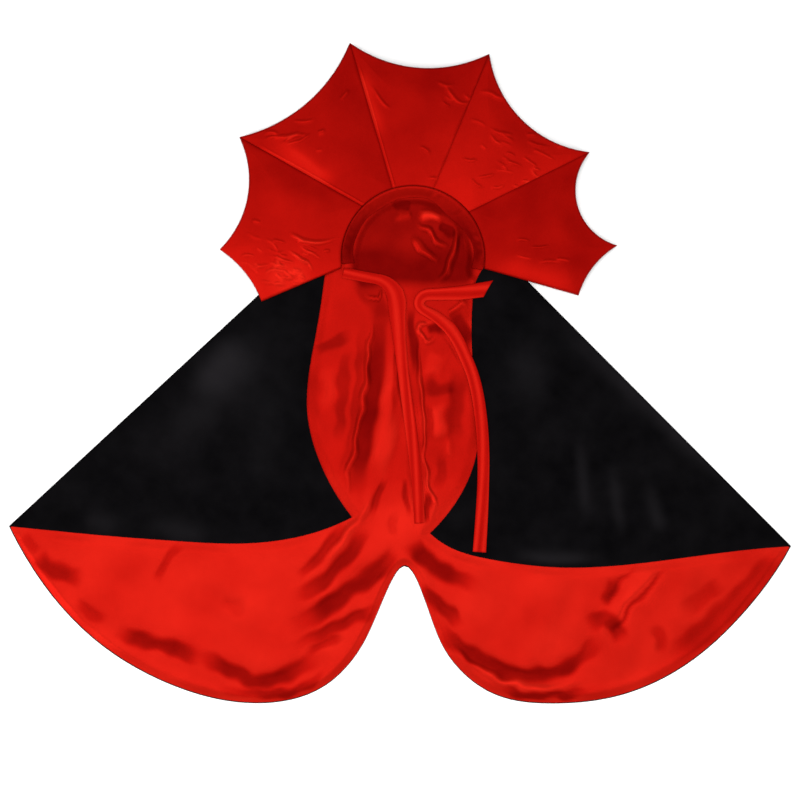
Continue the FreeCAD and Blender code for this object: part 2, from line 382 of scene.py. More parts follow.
def node_outline(name):
    """Outline of a flat CAD piece in millimetres, counter-clockwise: the edges that belong to
    only one triangle of its upper face, joined end to end."""
    mesh = frame["nodes"][name].data
    mesh.calc_loop_triangles()
    corners = np.empty(3 * len(mesh.loop_triangles), int)
    mesh.loop_triangles.foreach_get("vertices", corners)
    corners = corners.reshape(-1, 3)
    places = np.empty(3 * len(mesh.vertices))
    mesh.vertices.foreach_get("co", places)
    places = places.reshape(-1, 3) / MM
    spots, same = np.unique(np.round(places[:, :2], 3), axis=0, return_inverse=True)
    on_top = places[:, 2] > places[:, 2].max() - 0.1
    triangles = same.ravel()[corners[on_top[corners].all(1)]]
    edges = {(int(t[i]), int(t[(i + 1) % 3])) for t in triangles for i in range(3)}
    following = dict(edge for edge in edges if edge[::-1] not in edges)
    order = [next(iter(following))]
    for _ in range(len(following) - 1):
        order.append(following[order[-1]])
    return spots[order]


def roll_to(outline, first):
    """The closed outline started at the point nearest to a place."""
    return np.roll(outline, -np.hypot(*(outline - first).T).argmin(), axis=0)


def sides_between(outline, corners):
    """Cuts a closed outline at its corners, given in its own order, into its sides."""
    outline = roll_to(outline, corners[0])
    cuts = [int(np.hypot(*(outline - corner).T).argmin()) for corner in corners]
    closed = np.vstack([outline, outline[:1]])
    cuts.append(len(outline))
    return [closed[a:b + 1] for a, b in zip(cuts[:-1], cuts[1:])]


def patch(top, bottom, left, right, rows, columns):
    """Grid between four sides: the blend of top and bottom, plus the blend of left and right,
    less the blend of the four corners. Left and right run from top to bottom."""
    u = np.linspace(0, 1, columns)[None, :, None]
    v = np.linspace(0, 1, rows)[:, None, None]
    top, bottom = (resample(side, columns)[None] for side in (top, bottom))
    left, right = (resample(side, rows)[:, None] for side in (left, right))
    corners = ((1 - v) * ((1 - u) * top[:, :1] + u * top[:, -1:])
               + v * ((1 - u) * bottom[:, :1] + u * bottom[:, -1:]))
    return (1 - v) * top + v * bottom + (1 - u) * left + u * right - corners


def draw_in(grid, distance, sides):
    """Moves the given sides of a grid inwards by a distance that fades over a few rows."""
    for side in sides:
        turned = grid if side in ("top", "bottom") else grid.transpose(1, 0, 2)
        turned = turned if side in ("bottom", "right") else turned[::-1]
        inwards = turned[-4, :, :2] - turned[-1, :, :2]
        inwards /= np.hypot(*inwards.T)[:, None]
        fade = np.exp(-np.arange(len(turned))[::-1] / 3.0)[:, None, None]
        turned[..., :2] += distance * fade * inwards[None]


def beside(line, x, y):
    """Signed distance of points from a line, above 0 on its left hand, and the share of the
    line reached beside each point."""
    line = np.asarray(line, float)[:, :2]
    spot = np.stack([x.ravel(), y.ravel()], -1)
    start = line[:-1]
    step = np.diff(line, axis=0)
    best = np.full(len(spot), np.inf)
    side = np.zeros(len(spot))
    share = np.zeros(len(spot))
    for i, (a, d) in enumerate(zip(start, step)):
        away = spot - a
        t = np.clip(away @ d / (d @ d), 0, 1)
        gap = away - t[:, None] * d
        size = np.hypot(gap[:, 0], gap[:, 1])
        upright = (d[0] * away[:, 1] - d[1] * away[:, 0]) / math.hypot(*d)
        level = np.abs(size - best) < 1e-6
        closer = (size < best - 1e-6) | (level & (np.abs(upright) > np.abs(side)))
        best = np.where(closer, size, best)
        side = np.where(closer, upright, side)
        share = np.where(closer, (i + t) / len(step), share)
    return (np.where(side > 0, best, -best)).reshape(x.shape), share.reshape(x.shape)


def distance(line, x, y):
    """Distance of points from a line, whichever side they are on."""
    return np.abs(beside(line, x, y)[0])


def through(points, count):
    """Smooth line through points by Catmull-Rom pieces: each is a cubic with the slope of the
    two neighbours at its ends."""
    p = np.asarray(points, float)
    p = np.vstack([2 * p[0] - p[1], p, 2 * p[-1] - p[-2]])
    at = np.linspace(0, len(points) - 1, count)
    i = np.minimum(at.astype(int), len(points) - 2)
    t = (at - i)[:, None]
    a, b, c, d = p[i], p[i + 1], p[i + 2], p[i + 3]
    return 0.5 * (2 * b + (c - a) * t + (2 * a - 5 * b + 4 * c - d) * t ** 2
                  + (3 * b - a - 3 * c + d) * t ** 3)


def fold(x, y, points, left, right, fade=0.3):
    """One fold, 1 along its crest: the bell exp(-(distance / width)^2) for its height and the
    flatter exp(-(distance / width)^5) for the painted light along it. Each hand of the crest has
    its own width, and both ends fade out."""
    line = through(points, 6 * len(points))
    reach = 2.4 * max(left, right)
    low = line.min(0) - reach
    high = line.max(0) + reach
    near = (x > low[0]) & (x < high[0]) & (y > low[1]) & (y < high[1])
    gap, share = beside(line, x[near], y[near])
    away = (gap / np.where(gap > 0, left, right)) ** 2
    ends = smooth(share / fade) * smooth((1 - share) / fade)
    bell = np.zeros(x.shape)
    flat = np.zeros(x.shape)
    bell[near] = np.exp(-away) * ends
    flat[near] = np.exp(-away ** 2.5) * ends
    return bell, flat


def ripple(x, y, seed, length, count=7):
    """Slow unevenness between about -1 and 1: the mean of waves in random directions, with
    wavelengths round the given length."""
    draw = np.random.default_rng(seed)
    total = np.zeros(x.shape)
    for _ in range(count):
        heading = draw.uniform(0, 2 * math.pi)
        wave = 2 * math.pi / (length * draw.uniform(0.7, 1.5))
        total += np.sin(wave * (x * math.cos(heading) + y * math.sin(heading))
                        + draw.uniform(0, 2 * math.pi))
    return total / math.sqrt(count)


back = node_outline("back_shell")
radius = np.hypot(*(back - NECK).T)
arc = back[radius < NECK_EDGE]
arc = arc[np.argsort(np.arctan2(*(arc - NECK).T))]
BACK_CORNERS = [arc[0], back[back[:, 0].argmin()], back[back[:, 0].argmax()], arc[-1]]
left_side, hem, right_side, top_arc = sides_between(back, BACK_CORNERS)
top_arc = top_arc[::-1]
right_side = right_side[::-1]

# folds of the lining: height, width on the left and on the right hand, painted light (below 0
# painted shade in the valleys, above 0 painted highlight on the crests), places
DOWN_THE_MIDDLE = [
    (3.0, 2.0, 2.4, 0.20, [(-27.5, 71), (-31.2, 45.3), (-35.9, 27), (-34.1, 5), (-38.5, -20.7),
                           (-42.2, -42.7), (-47.7, -64.7), (-50, -86.7), (-58, -105),
                           (-58.7, -122), (-56, -136)]),
    (-0.8, 9, 9, -0.42, [(-19, 92), (-20, 66), (-23, 38), (-26, 6), (-29, -22), (-34, -48),
                         (-39, -74), (-43, -98), (-47, -122), (-50, -148)]),
    (-0.5, 5, 5, -0.18, [(-37, 66), (-42, 41), (-44, 16), (-47, -20), (-51, -57), (-59, -94),
                         (-66, -116)]),
    (3.0, 12, 12, 0.24, [(-2, 26), (-5, 0), (-11, -28), (-17, -64), (-24, -98), (-30, -128)]),
    (-0.5, 3.5, 3.5, -0.25, [(-1, 60), (-3, 20), (-5, -20), (-7, -60)]),
    (2.6, 1.8, 2.0, 0.25, [(18.3, 56), (20.2, 16), (22.8, -9.7), (25, -39), (27, -79.4),
                           (30, -112), (36.5, -144), (35, -162)]),
    (-0.6, 4, 5, -0.45, [(13, 78), (14, 50), (16, 24), (19, -6)]),
    (-0.6, 4, 4, -0.25, [(33, -30), (34, -52), (35, -76)]),
    (1.2, 10, 10, 0.18, [(46, 30), (37, 12), (31, -6)]),
    (-0.8, 8, 8, -0.30, [(24, -10), (44, -16), (66, -10)]),
    (1.5, 8, 9, 0.24, [(41, -28), (42, -50), (43, -74)]),
    (-0.8, 9, 9, -0.26, [(66, 12), (63, -20), (60, -52), (60, -84)]),
    (0.8, 5, 5, 0.15, [(58, -70), (55, -80), (52, -90)]),
    (-0.5, 6, 6, -0.22, [(44, -86), (46, -106), (42, -128)]),
    (2.0, 1.6, 1.6, 0.22, [(-37.7, 93), (-31, 84), (-24, 80), (-21.5, 86), (-25.3, 95)]),
    (2.0, 1.8, 1.8, 0.22, [(75, 76), (66, 76), (58, 71), (53, 64)]),
    (2.0, 1.7, 1.7, 0.25, [(47, 60), (36, 60), (24, 56), (21, 47), (27, 37), (37, 38), (46, 47)]),
    (-0.8, 7, 7, -0.50, [(28, 49), (38, 51), (52, 50)]),
    (-0.8, 8, 8, -0.45, [(58, 74), (68, 52), (76, 25)]),
    (1.5, 1.8, 1.8, 0.22, [(77, 66), (79, 40), (79.5, 14)]),
    (-0.6, 5, 5, -0.28, [(-92, 24), (-82, 30), (-66, 38), (-50, 46)]),
    (-0.6, 12, 10, -0.24, [(-52, 106), (-38, 94), (-25, 76), (-21, 58)]),
    (-0.5, 5, 6, -0.24, [(-56, 34), (-61, 6), (-62, -20), (-66, -50), (-64, -82)]),
    (-0.5, 7, 7, -0.15, [(-94, 14), (-97, -20), (-92, -60)]),
    (1.2, 9, 9, 0.10, [(-76, 20), (-78, -14), (-76, -48)]),
    (-0.8, 4.5, 4.5, -0.36, [(-17, -112), (-21, -126), (-26, -140), (-34, -160)]),
    (1.5, 5, 5, 0.08, [(-30, -124), (-38, -146), (-49, -162), (-68, -189), (-88, -214)]),
    (-0.8, 3, 3, -0.50, [(28.5, -128), (30, -146), (30, -166)]),
    (-0.8, 2.5, 3.5, -0.40, [(6, -112), (8, -134), (11, -160)]),
    (-0.6, 5, 5, -0.15, [(-6, -150), (-8, -166), (-8, -180)]),
]
NECK_HOLLOW = [
    (3.0, 2.4, 3.0, 0.40, [(16.5, 169.4), (30.4, 159.3), (39.2, 148), (54.4, 137.9)]),
    (2.5, 4.0, 2.4, 0.38, [(12.7, 153.8), (19, 140.4), (30.4, 131.5), (45, 124.2)]),
    (3.5, 3.5, 3.5, 0.35, [(54.9, 160), (62, 150.5), (60.7, 139), (56.9, 126.5), (49.3, 111.3),
                           (39.5, 96.7)]),
    (2.0, 4.5, 4.5, 0.75, [(19, 175.5), (34, 174), (50, 169.4)]),
    (-1.0, 4, 4, -0.60, [(44, 164), (51.8, 159.3), (56, 148)]),
    (-1.0, 4.5, 4.5, -0.50, [(64, 158), (67, 146), (66.5, 132), (61, 114)]),
    (-0.5, 5, 5, -0.25, [(-10, 186), (2, 187), (14, 184)]),
    (1.0, 6, 6, 0.20, [(-8, 176), (4, 174), (14, 176)]),
    (-0.5, 4, 4, -0.30, [(-38, 116), (-24, 115), (-10, 116)]),
]
RIGHT_LOBE = [
    (-1.5, 9, 10, -0.60, [(11, -180), (26, -200), (49, -217), (94, -234)]),
    (-1.2, 6, 8, -0.50, [(22, -232), (36, -246), (54, -260), (70, -280)]),
    (-2.0, 7, 9, -0.62, [(38, -262), (58, -292), (92, -314), (130, -328), (172, -326),
                         (204, -306), (222, -282)]),
    (2.0, 4, 4, 0.12, [(46, -284), (80, -317), (121, -340), (165, -345), (208, -336)]),
    (-1.0, 5, 5, -0.55, [(104, -344), (136, -352), (175, -353), (218, -346)]),
    (-1.0, 9, 9, -0.50, [(202, -280), (224, -268), (238, -280), (246, -296)]),
    (-0.8, 6, 7, -0.35, [(222, -254), (230, -240), (236, -222)]),
    (1.5, 3, 12, 0.10, [(292, -204), (264, -234), (240, -262), (216, -288)]),
    (-0.8, 3, 3, -0.30, [(299, -206), (271, -238), (247, -266), (224, -292)]),
    (-0.8, 3, 3, -0.25, [(262, -206), (240, -232), (222, -258)]),
    (-1.0, 14, 12, -0.34, [(428, -186), (400, -218), (364, -254), (322, -292), (284, -318)]),
    (-0.8, 8, 10, -0.22, [(356, -228), (334, -246), (308, -262)]),
    (-0.8, 6, 6, -0.25, [(276, -276), (288, -290), (284, -308)]),
]
LEFT_LOBE = [
    (-1.2, 6, 6, -0.45, [(-60, -162), (-74, -181), (-92, -204), (-116, -226)]),
    (-1.5, 7, 8, -0.55, [(-34, -164), (-49, -189), (-68, -211), (-90, -232), (-124, -248)]),
    (-2.0, 10, 9, -0.60, [(-2, -184), (-16, -207), (-36, -225), (-60, -240), (-90, -262),
                          (-122, -278)]),
    (-1.0, 8, 6, -0.50, [(-22, -256), (-48, -266), (-78, -280), (-122, -300)]),
    (-1.0, 5, 5, -0.35, [(-60, -288), (-82, -296), (-104, -308)]),
    (-1.8, 8, 10, -0.58, [(-222, -306), (-194, -320), (-160, -336), (-122, -328), (-78, -298)]),
    (-1.2, 10, 8, -0.55, [(-316, -280), (-286, -292), (-254, -300), (-210, -318)]),
    (-0.8, 5, 5, -0.45, [(-206, -342), (-158, -352), (-112, -346), (-76, -322)]),
    (-0.8, 6, 6, -0.26, [(-236, -180), (-250, -196), (-262, -214), (-268, -234)]),
    (-1.0, 12, 8, -0.50, [(-404, -200), (-382, -216), (-346, -228)]),
    (-0.8, 6, 6, -0.20, [(-416, -176), (-408, -186), (-394, -196)]),
    (-0.8, 7, 7, -0.25, [(-358, -250), (-340, -262), (-320, -270)]),
    (-0.6, 8, 8, -0.12, [(-200, -246), (-184, -254), (-166, -256)]),
]
BACK_Z = 1.0
HEM_INSET = 1.2
SIDE_INSET = 2.5
ROWS, COLUMNS = 230, 410
lining = patch(top_arc, hem, left_side, right_side, ROWS, COLUMNS)
x, y = lining[..., 0], lining[..., 1]
edge_gap = distance(resample(hem, 420), x, y)


def front_sides(side):
    """Neck edge, side fold, front edge and hem of a front panel, from its CAD pieces. The neck
    edge and the hem run from the front edge to the side fold, the other two run down."""
    upper, lower = (node_outline("front_" + side + "_shell_" + part)
                    for part in ("upper", "lower"))
    if side == "right":
        upper, lower = upper[::-1], lower[::-1]
    outward = -1.0 if side == "left" else 1.0
    joint = next(j for j in frame["joints"] if j["name"] == "front_" + side + "_turn")
    crease = np.array(joint["pos_m"][:2]) / MM
    neck = upper[np.hypot(*(upper - NECK).T) < NECK_EDGE]
    neck_end, neck_fold = neck[neck[:, 1].argmin()], neck[neck[:, 1].argmax()]
    tip = upper[(outward * upper[:, 0]).argmax()]
    fold_line, _, front_high, neck_line = sides_between(upper, [neck_fold, tip, crease, neck_end])
    corner = lower[(-outward * lower[:, 0] - lower[:, 1]).argmax()]
    tip = lower[(outward * lower[:, 0]).argmax()]
    hem_line, front_low, _ = sides_between(lower, [tip, corner, crease])
    fold_line[-1] = hem_line[0]
    return (neck_line, fold_line, np.vstack([front_high[::-1], front_low[::-1]]),
            hem_line[::-1])


left_front = front_sides("left")
right_front = front_sides("right")
covered = []
for _, _, front, hem_line in (left_front, right_front):
    open_edge = np.vstack([resample(front, 34), resample(hem_line, 46)[1:]])
    gap, _ = beside(open_edge, x, y)
    covered.append(gap)
left_gap = covered[0]
right_gap = -covered[1]
neck_reach = np.hypot(x - NECK[0], y - NECK[1])
free = smooth(np.minimum(left_gap, right_gap) / 12)
free = np.maximum(free, smooth((78 - neck_reach) / 8))

turn = np.radians(np.linspace(BAND_START, BAND_END, 40))
band_line = NECK + (BAND_INNER + BAND_OUTER) / 2 * np.stack([np.cos(turn), np.sin(turn)], -1)
band_gap = distance(band_line, x, y)
tie_gap = np.minimum(distance(resample(left_line, 60), x, y),
                     distance(resample(right_line, 70), x, y))

heights = np.zeros(x.shape)
painted_fold_light = np.zeros(x.shape)
bent_x = x + 1.6 * ripple(x, y, 21, 30.0)
bent_y = y + 1.6 * ripple(x, y, 22, 24.0)
# Each fold lifts or sinks the lining and paints shade into its valleys and highlight on its
# crests.
for height, left, right, tone_and_painted_light, points in (
        DOWN_THE_MIDDLE + NECK_HOLLOW + RIGHT_LOBE + LEFT_LOBE):
    bell, flat = fold(bent_x, bent_y, points, left, right)
    heights += height * bell
    painted_fold_light += tone_and_painted_light * flat
heights += 0.5 * ripple(x, y, 3, 90.0) + 0.12 * ripple(x, y, 8, 32.0)
# A little slow random tone is added to the folds' painted light.
painted_fold_light += 0.05 * ripple(x, y, 5, 70.0)
heights += 0.7 * np.exp(-((edge_gap - 9) / 6.0) ** 2)
heights += 1.6
heights *= smooth(edge_gap / 9) * free * smooth((band_gap - 5.5) / 9)
heights = np.minimum(heights, 1.55 + 5.5 * smooth((tie_gap - 7) / 9))
height = BACK_Z + np.maximum(heights, 0.0)
# Painted shade inside the neck, under the neckband; the middle of the back, from above the hem
# lobes to below the neck, is made darker too.
neck_painted_shade = smooth((74 - neck_reach) / 12) * smooth((y - 90) / 20)
in_front = smooth((y + 155) / 60) * smooth((150 - y) / 40)
tone_and_painted_light = np.clip(0.74 + painted_fold_light - 0.26 * in_front - 0.60 * neck_painted_shade, 0, 1)
lining = np.stack([x, y, height], -1)
draw_in(lining, HEM_INSET, ["bottom"])
draw_in(lining, SIDE_INSET, ["left", "right"])

# Red satin for the lining, neckband and front linings, black satin for the outer cloth: each runs
# from a painted shade colour to a painted highlight colour, the black one's painted sheen
# grey-blue.
red_satin = satin("red_satin", (0.09, 0.0002, 0.0002), (0.49, 0.0110, 0.0052),
                  roughness=0.38, metallic=0.3, specular=0.005)
black_satin = satin("black_satin", (0.0012, 0.0011, 0.0013), (0.020, 0.030, 0.034),
                    roughness=0.40, metallic=0.0, specular=0.0)
back_lining = cloth_object("back_lining_cloth", surface_mesh("back_lining_cloth", lining, tone_and_painted_light),
                           red_satin)
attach(back_lining, "cape_body")
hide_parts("back_lining")

SHELL_ROWS, SHELL_COLUMNS = 90, 220
SHELL_Z = 0.3
SHELL_THICK = 0.3
SHELL_TONE = 0.2
shell = patch(top_arc, hem, left_side, right_side, SHELL_ROWS, SHELL_COLUMNS)
shell = np.concatenate([shell, np.full(shell.shape[:2] + (1,), SHELL_Z)], -1)
shell_mesh = surface_mesh("back_shell_cloth", shell, SHELL_TONE, up=False)
back_shell = cloth_object("back_shell_cloth", shell_mesh, black_satin)
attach(back_shell, "cape_body")
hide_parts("back_shell")
thick = back_shell.modifiers.new("cloth", "SOLIDIFY")
thick.thickness = SHELL_THICK * MM
thick.offset = 0


# ---- Front panels ----
# Each front is one panel, black satin over red lining, folded over the back at the side seam.
# Its lower half can be turned back along a crease.
PANEL_ROWS, PANEL_COLUMNS = 210, 160
PANEL_SHELL_Z = 3.0
PANEL_LINING_Z = 1.5
FOLD_ROUND = 3.0
FOLD_Z = 0.7                      # the side fold's own height
FOLD_GROOVE_AT = 6.0              # a shallow groove beside the side fold
FOLD_GROOVE = 0.2
OPEN_DIP = 0.5
OPEN_DIP_WIDTH = 1.6
# painted sheen of the black cloth: how much lighter it is painted, width on the left and right
# hand, places
LEFT_PAINTED_SHEEN = [
    (0.33, 26, 16, [(-168, 48), (-200, 10), (-232, -28)]),
    (0.15, 30, 22, [(-120, 80), (-170, 20), (-240, -60), (-300, -120)]),
    (0.18, 12, 12, [(-352, -158), (-330, -162), (-300, -168)]),
    (0.15, 14, 12, [(-290, -160), (-240, -172), (-190, -176)]),
    (0.09, 20, 20, [(-130, 20), (-150, -60), (-140, -130)]),
]
RIGHT_PAINTED_SHEEN = [
    (0.24, 10, 10, [(150, 80), (230, 5), (320, -80), (390, -148)]),
    (0.21, 7, 7, [(196, -60), (200, -110), (206, -170)]),
    (0.21, 7, 7, [(232, -90), (238, -140), (245, -185)]),
    (0.19, 8, 8, [(270, -110), (280, -150), (292, -180)]),
    (0.14, 18, 18, [(120, 60), (140, 0), (150, -60)]),
    (0.29, 8, 6, [(120, -196), (170, -203), (230, -200)]),
]


def panel_layer(name, sides, z, up, painted_sheens, tone, seed):
    """One layer of a front panel: it rounds down at the side fold and dips at its open edges.
    The outer cloth has slow waves and a groove beside the fold. The lining is flat between,
    and drawn in everywhere but at the neck."""
    neck_line, fold_line, front, hem_line = sides
    grid = patch(neck_line, hem_line, front, fold_line, PANEL_ROWS, PANEL_COLUMNS)
    x, y = grid[..., 0], grid[..., 1]
    fold_gap = distance(resample(fold_line, 40), x, y)
    open_line = np.vstack([resample(front, 40), resample(hem_line, 50)[1:]])
    open_gap = distance(open_line, x, y)
    inside = smooth(open_gap / 12) * smooth(fold_gap / 14)
    under_tie = smooth((distance(resample(right_line, 70), x, y) - 7) / 8)
    waves = 0.8 + 0.5 * ripple(x, y, seed, 80.0) + 0.2 * ripple(x, y, seed + 1, 26.0)
    height = z + (np.clip(waves, 0, 1.5) * inside * under_tie if up else 0.0)
    round_off = np.sqrt(1 - (1 - np.clip(fold_gap / FOLD_ROUND, 0, 1)) ** 2)
    dip = OPEN_DIP * (1 - smooth(open_gap / OPEN_DIP_WIDTH))
    height = height - (z - FOLD_Z) * (1 - round_off) - dip
    height = height - FOLD_GROOVE * np.exp(-((fold_gap - FOLD_GROOVE_AT) / 1.5) ** 2) * up
    # The layer's own even tone, with the painted sheen bands of the black cloth and a little slow
    # random tone.
    tone_and_painted_light = np.full(x.shape, tone)
    for strength, left, right, points in painted_sheens:
        tone_and_painted_light += strength * fold(x, y, points, left, right, fade=0.4)[0]
    tone_and_painted_light += 0.02 * ripple(x, y, seed + 2, 60.0)
    grid = np.concatenate([grid, height[..., None]], -1)
    if not up:
        draw_in(grid, SIDE_INSET, ["left", "right", "bottom"])
    return surface_mesh(name, grid, np.clip(tone_and_painted_light, 0, 1), up=up)


for side, sides, painted_sheens in (("left", left_front, LEFT_PAINTED_SHEEN), ("right", right_front, RIGHT_PAINTED_SHEEN)):
    joint = next(j for j in frame["joints"] if j["name"] == "front_" + side + "_turn")
    tip = sides[1][-1]
    crease = Vector(joint["pos_m"])
    along = Vector((tip[0] * MM, tip[1] * MM, crease.z)) - crease
    down = Vector((-along.y, along.x, 0)).normalized()
    down = down if down.y < 0 else -down
    for layer, z, up, tone in (("lining", PANEL_LINING_Z, False, 0.5),
                               ("shell", PANEL_SHELL_Z, True, 0.02)):
        name = "front_" + side + "_" + layer + "_cloth"
        nodes = ["front_" + side + "_" + layer + "_" + half for half in ("upper", "lower")]
        mesh = panel_layer(name, sides, z, up, painted_sheens if up else [], tone, 20 + len(side))
        panel = cloth_object(name, mesh, black_satin if up else red_satin)
        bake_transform(panel)
        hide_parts(*nodes)
    if side == "right":
        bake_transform(right_ribbon)


# ---- Neckband ----
# A strip of red satin with interlining, sewn round the neck. The collar stands on its outer edge
# and a tie hangs from each end, so it lies as a raised ring, a little puckered by the seam.
BAND_SEAM = 79.8                  # radius of its outer edge, just under the collar
BAND_LOW = 1.6
BAND_EDGE = 0.4                   # height of its two edges over its underside
BAND_SWELL = 0.4
BAND_FALL = 14                    # degrees over which its ends come down
BAND_COLUMNS = 260
BAND_AROUND = 32
turn = np.radians(np.linspace(BAND_START, BAND_END, BAND_COLUMNS))[:, None]
around = np.linspace(0, 2 * math.pi, BAND_AROUND, endpoint=False)[None]
across, rise = flat_oval(around)
wander = 0.9 * np.sin(5.0 * turn + 0.6) + 0.5 * np.sin(11.0 * turn)
wander -= 5.0 * np.exp(-((turn - 0.8) / 0.35) ** 2)
inner = BAND_INNER + wander
reach = (inner + BAND_SEAM) / 2 + across * (BAND_SEAM - inner) / 2
band = np.empty(reach.shape + (3,))
band[..., 0] = NECK[0] + reach * np.cos(turn)
band[..., 1] = NECK[1] + reach * np.sin(turn)
swell = 0.5 + 0.5 * np.cos(math.pi * (across - 0.25))
pucker = 0.2 * np.sin(43 * turn + 2 * across) * np.sin(6.1 * turn)
from_left = (BAND_START - np.degrees(turn)) / BAND_FALL
from_right = (np.degrees(turn) - BAND_END) / BAND_FALL
end_fall = smooth(from_left) * smooth(from_right)
top_z = 2.4 + (1.2 + 4.9 * end_fall) * (across / 2 + 0.5) ** 1.6 + (BAND_SWELL + pucker) * swell
band[..., 2] = np.where(rise > 0, BAND_LOW + BAND_EDGE + (top_z - BAND_LOW - BAND_EDGE) * rise,
                        BAND_LOW + BAND_EDGE * (1 + rise))
# Painted light of the neckband: dark like the painted shade inside the neck, lighter towards its
# outer edge and in slow waves round the ring, with a painted highlight line just inside its outer
# edge.
band_painted_light = 0.20 + 0.14 * np.sin(2.2 * turn + 4.2) + 0.10 * across
band_painted_light = band_painted_light + 0.5 * np.exp(-((across - 0.9) / 0.1) ** 2)
neckband_mesh = surface_mesh("neckband_strip", band, np.clip(band_painted_light, 0, 1), closed_across=True)
close_ends(neckband_mesh, *band.shape[:2])
neckband = cloth_object("neckband_strip", neckband_mesh, red_satin)
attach(neckband, "cape_body")
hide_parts("neckband_face", "neckband_under", "neckband_interlining")


# ---- Collar ----
# Five gores stand round the neck like a bat's wing. Each is a sheet of foam between a red satin
# facing and a black outer side, bagged out and sewn to its neighbours from neck to point.
GORE_ROWS, GORE_COLUMNS = 130, 120
GORE_LOW = 5.5
OPEN_RIM_Z = 6.8
SEAM_RIM_Z = 8.9
SEAM_LAP = 0.4
SEAM_FADE = 3.0
SEAM_RIDGE = 0.9
GORE_TOP = 9.4
EDGE_ROUND = 2.0
GORE_PUFF = 1.8
OUTER_Z = 5.1
OUTER_INSET = 0.012               # share of the way to the middle of the gore
OUTER_THICK = 0.5
COLLAR_EDGE = 80.0                # nearer to the neck's centre than this is the collar's neck edge
# painted light at the four corners of each gore, each facet painted lighter or darker as light
# falls on it: neck left, neck right, point left, point right
GORE_PAINTED_LIGHT = {"left_wing": (0.44, 0.16, 0.62, 0.12), "left_mid": (0.28, 0.12, 0.28, 0.16),
              "centre": (0.26, 0.36, 0.16, 0.12), "right_mid": (0.42, 0.52, 0.14, 0.28),
              "right_wing": (0.14, 0.18, 0.14, 0.20)}
# creases of the facings: height, width on the left and right hand, painted highlight along the
# crest, places
CREASES = {
    "left_wing": [
        (2.8, 1.8, 2.6, 0.60, [(-63.5, 150.8), (-85.4, 144), (-102.3, 145), (-114, 150),
                               (-122.5, 156.7)]),
        (1.4, 1.6, 1.6, 0.3, [(-151, 165), (-157, 167), (-163, 169)]),
        (1.0, 20, 20, 0.2, [(-90, 118), (-125, 108), (-150, 98)]),
    ],
    "left_mid": [
        (1.2, 18, 7, 0.34, [(-66, 208), (-88, 222), (-112, 240), (-152, 264)]),
        (1.4, 1.8, 1.8, 0.3, [(-132, 262), (-140, 265), (-150, 264)]),
        (1.3, 1.8, 1.8, 0.2, [(-100, 262), (-116, 262), (-128, 258)]),
        (1.2, 1.8, 1.8, 0.2, [(-56, 312), (-60, 306), (-66, 300)]),
    ],
    "centre": [
        (1.4, 11, 9, 0.40, [(-20, 252), (-30, 285), (-40, 318), (-46, 338)]),
        (1.4, 1.8, 1.8, 0.3, [(-32, 318), (-24, 304), (-16, 294), (-9, 290)]),
        (1.6, 1.9, 1.9, 0.4, [(46, 322), (56, 306), (66, 297), (82, 297)]),
        (1.0, 1.8, 1.8, 0.15, [(20, 250), (28, 246), (34, 241)]),
        (1.3, 1.8, 1.8, 0.25, [(28, 215), (40, 214), (50, 210)]),
    ],
    "right_mid": [
        (1.5, 1.9, 1.9, 0.35, [(84, 310), (98, 308), (108, 303), (120, 302)]),
        (1.2, 1.8, 1.8, 0.2, [(96, 270), (112, 262), (126, 254)]),
        (1.4, 2.0, 2.0, 0.25, [(128, 208), (142, 207), (158, 203)]),
        (1.4, 2.0, 2.0, 0.25, [(122, 196), (138, 198), (152, 196)]),
        (1.2, 14, 6, 0.38, [(204, 238), (170, 216), (130, 192), (92, 170)]),
    ],
    "right_wing": [
        (1.0, 14, 10, 0.32, [(90, 116), (130, 112), (164, 103), (205, 90)]),
        (1.0, 1.8, 1.8, 0.2, [(150, 122), (165, 124), (182, 121)]),
    ],
}
# small wrinkles scattered on a facing: how many, middle, spread, and heading in degrees
WRINKLES = {
    "left_wing": (48, (-122, 116), (24, 14), 165.0),
    "left_mid": (12, (-120, 258), (20, 8), 10.0),
    "centre": (6, (60, 305), (18, 8), -30.0),
    "right_mid": (34, (128, 214), (28, 24), -14.0),
    "right_wing": (5, (150, 130), (30, 12), 0.0),
}
collar_satin = satin("collar_satin", (0.13, 0.0002, 0.0002), (0.52, 0.0110, 0.0050),
                     roughness=0.42, metallic=0.25, specular=0.005)


def gore_sides(name):
    """Top scallops, neck edge, left side and right side of a gore, from its CAD piece."""
    outline = node_outline(name)
    arc = outline[np.hypot(*(outline - NECK).T) < COLLAR_EDGE]
    angle = np.arctan2(*(arc - NECK).T)
    outline = roll_to(outline, arc[angle.argmin()])
    count = len(arc)
    neck_line, rest = outline[:count], outline[count:]
    return (rest[::-1], neck_line, np.array([rest[-1], neck_line[0]]),
            np.array([rest[0], neck_line[-1]]))


def scattered(gore):
    """Small wrinkles of a facing, each a short bowed crease, in the same form as CREASES."""
    count, middle, spread, heading = WRINKLES[gore]
    draw = np.random.default_rng(70 + len(gore))
    wrinkles = []
    for _ in range(count):
        at = np.array(middle) + draw.normal(0, 1, 2) * spread
        turn = math.radians(heading + draw.normal(0, 16))
        step = draw.uniform(4, 14) * np.array([math.cos(turn), math.sin(turn)])
        bow = draw.uniform(-0.3, 0.3) * np.array([-step[1], step[0]])
        # Each wrinkle also gets a small painted highlight along its crest.
        wrinkles.append((draw.uniform(0.5, 1.2), 1.5, 1.5, draw.uniform(0.05, 0.35),
                         [at - step, at + bow, at + step]))
    return wrinkles


def join_rims(mesh, under):
    """Adds the underside to a facing's mesh and joins the two along their common rim."""
    work = bmesh.new()
    work.from_mesh(mesh)
    work.from_mesh(under)
    bmesh.ops.remove_doubles(work, verts=work.verts, dist=0.00001)
    work.to_mesh(mesh)
    work.free()
    bpy.data.meshes.remove(under)


